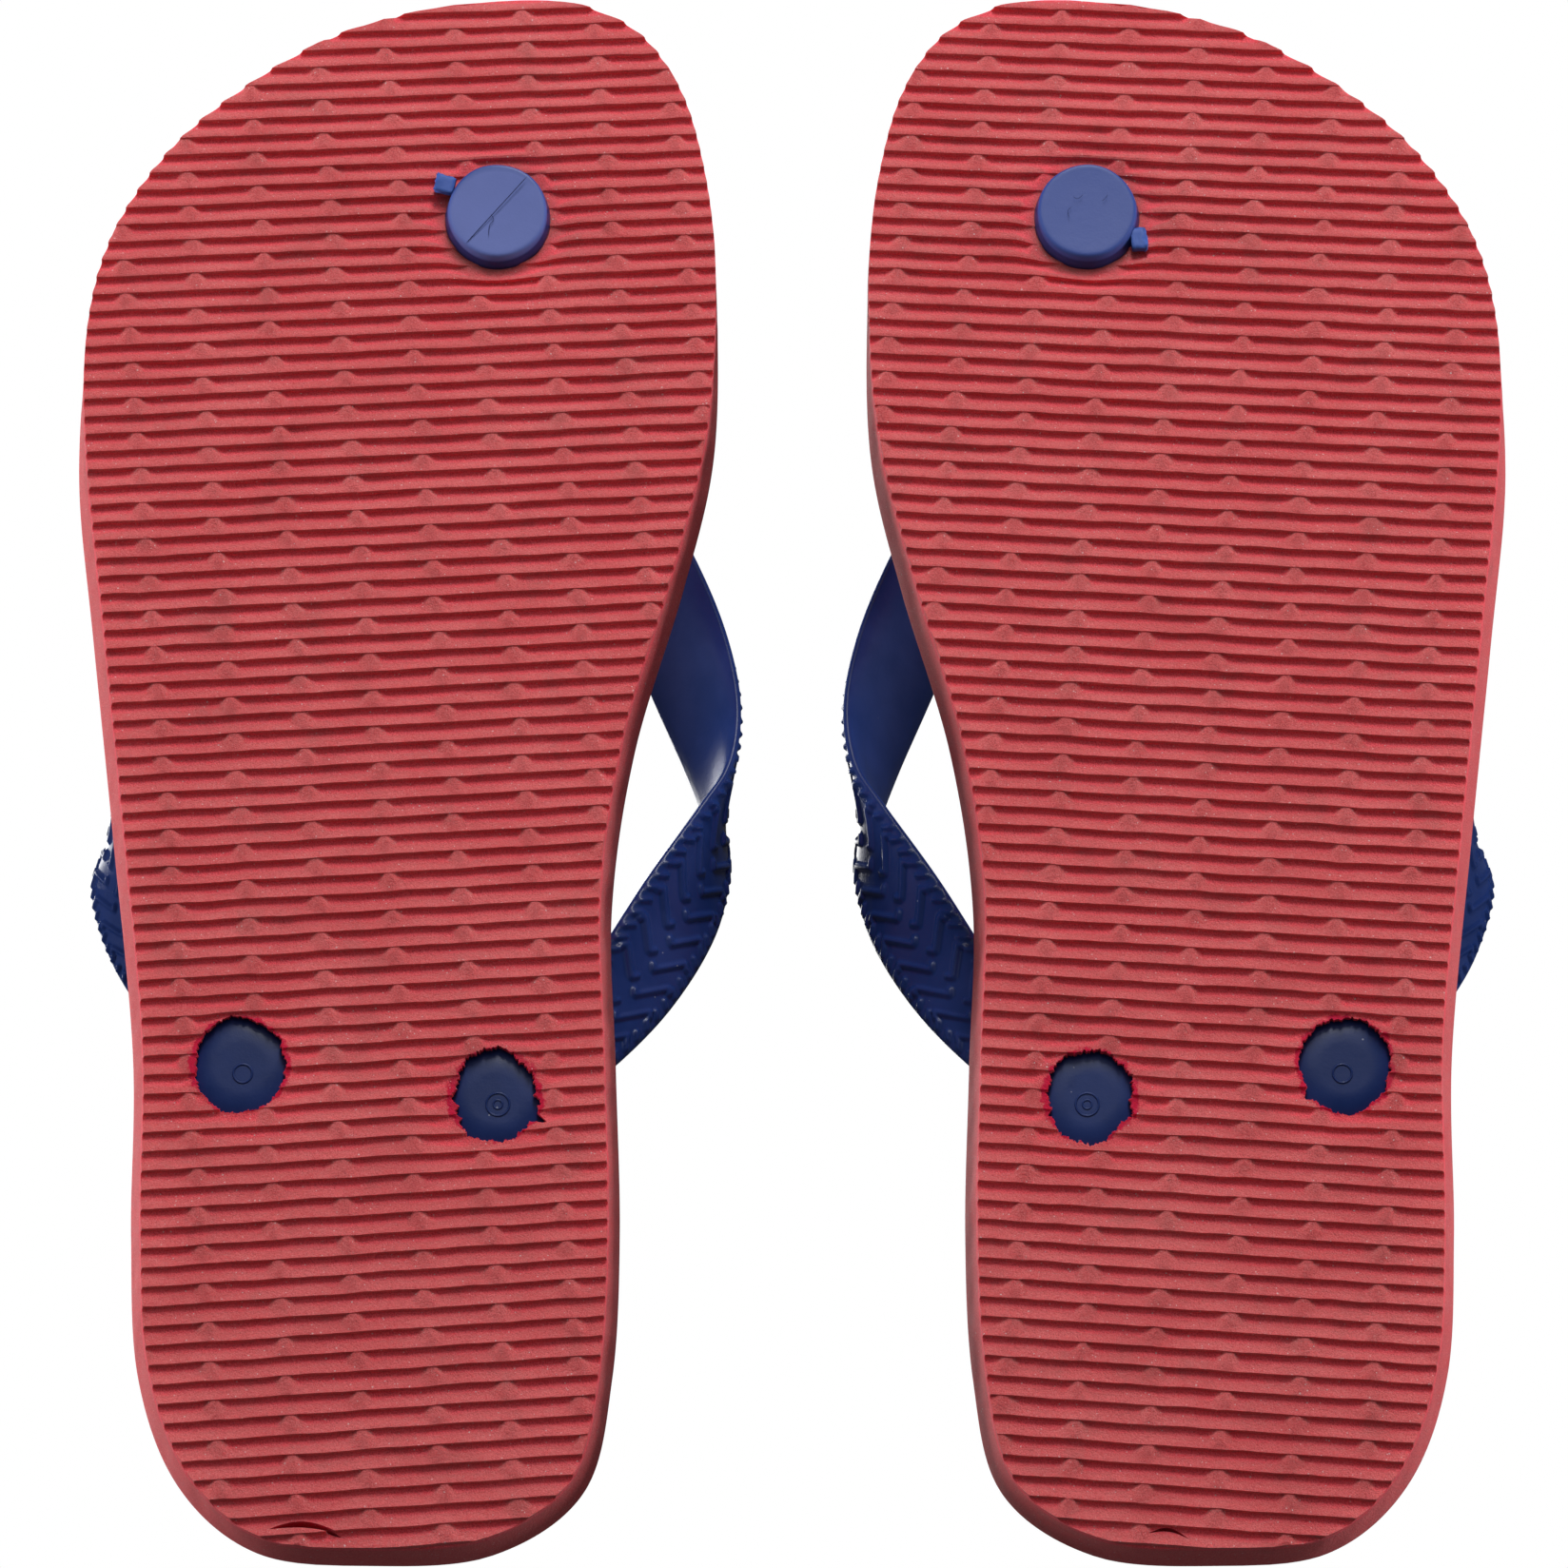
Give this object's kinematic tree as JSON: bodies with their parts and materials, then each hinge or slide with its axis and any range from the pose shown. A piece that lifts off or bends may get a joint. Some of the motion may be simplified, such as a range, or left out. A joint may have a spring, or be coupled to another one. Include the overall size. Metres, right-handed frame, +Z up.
{
  "type": "flip-flops",
  "caption": "Pair of thong flip-flops: flared foam-rubber soles with a grooved tread, each with a Y-shaped plastic strap on a toe post and rear plugs.",
  "frame": {"origin": "on the floor, midway between the two shoes and midway between toe and heel", "axes": "+X towards the left shoe (the wearer's left), -Y towards the toes, +Z up"},
  "size_m": [0.2426, 0.2704, 0.056],
  "materials": {
    "sole_rubber": "matte closed-cell foam rubber, red",
    "strap_plastic": "satin soft plastic, dark blue"
  },
  "bodies": {
    "right_shoe": {"right_sole": "sole_rubber", "right_strap": "strap_plastic"},
    "left_shoe": {"left_sole": "sole_rubber", "left_strap": "strap_plastic"}
  },
  "joints": [
    {"name": "left_shoe_slide", "type": "slide", "parent": "right_shoe", "child": "left_shoe", "axis": [1, 0, 0], "range_m": [-0.012, 0.1]}
  ]
}
